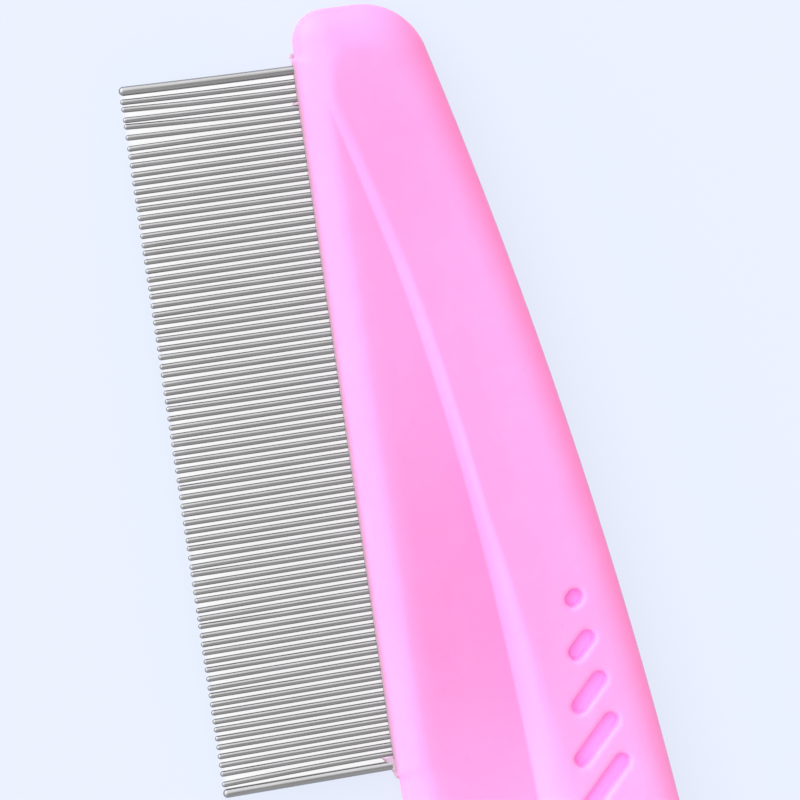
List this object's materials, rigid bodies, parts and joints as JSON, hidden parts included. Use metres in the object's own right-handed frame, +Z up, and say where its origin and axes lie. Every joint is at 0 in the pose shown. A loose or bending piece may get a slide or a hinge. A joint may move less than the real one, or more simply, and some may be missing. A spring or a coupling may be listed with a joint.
{
  "type": "flea comb",
  "caption": "Flat moulded handle with a straight row of closely set steel wire teeth along one edge, for combing fleas and loose hair out of a pet's coat.",
  "frame": {"origin": "centre of the comb's outline, teeth included, on the surface that its flat back rests on", "axes": "+X along the row of teeth from the head towards the hanging end of the handle, +Y from the tooth tips towards the spine, +Z up through the handle's thickness"},
  "size_m": [0.1753, 0.0456, 0.007],
  "materials": {
    "handle_plastic": "satin moulded polypropylene, slightly translucent",
    "tooth_wire": "drawn stainless wire with polished tips"
  },
  "bodies": {
    "root": {"handle": "handle_plastic", "head_guard_tooth": "tooth_wire", "tail_guard_tooth": "tooth_wire", "fine_teeth_01": "tooth_wire", "fine_teeth_02": "tooth_wire", "fine_teeth_03": "tooth_wire", "fine_teeth_04": "tooth_wire", "fine_teeth_05": "tooth_wire", "fine_teeth_06": "tooth_wire", "fine_teeth_07": "tooth_wire", "fine_teeth_08": "tooth_wire", "fine_teeth_09": "tooth_wire", "fine_teeth_10": "tooth_wire", "fine_teeth_11": "tooth_wire", "fine_teeth_12": "tooth_wire", "fine_teeth_13": "tooth_wire", "fine_teeth_14": "tooth_wire", "fine_teeth_15": "tooth_wire", "fine_teeth_16": "tooth_wire", "fine_teeth_17": "tooth_wire", "fine_teeth_18": "tooth_wire", "fine_teeth_19": "tooth_wire", "fine_teeth_20": "tooth_wire", "fine_teeth_21": "tooth_wire", "fine_teeth_22": "tooth_wire", "fine_teeth_23": "tooth_wire", "fine_teeth_24": "tooth_wire", "fine_teeth_25": "tooth_wire", "fine_teeth_26": "tooth_wire", "fine_teeth_27": "tooth_wire", "fine_teeth_28": "tooth_wire", "fine_teeth_29": "tooth_wire", "fine_teeth_30": "tooth_wire", "fine_teeth_31": "tooth_wire", "fine_teeth_32": "tooth_wire", "fine_teeth_33": "tooth_wire", "fine_teeth_34": "tooth_wire", "fine_teeth_35": "tooth_wire", "fine_teeth_36": "tooth_wire", "fine_teeth_37": "tooth_wire", "fine_teeth_38": "tooth_wire", "fine_teeth_39": "tooth_wire", "fine_teeth_40": "tooth_wire"}
  },
  "joints": []
}
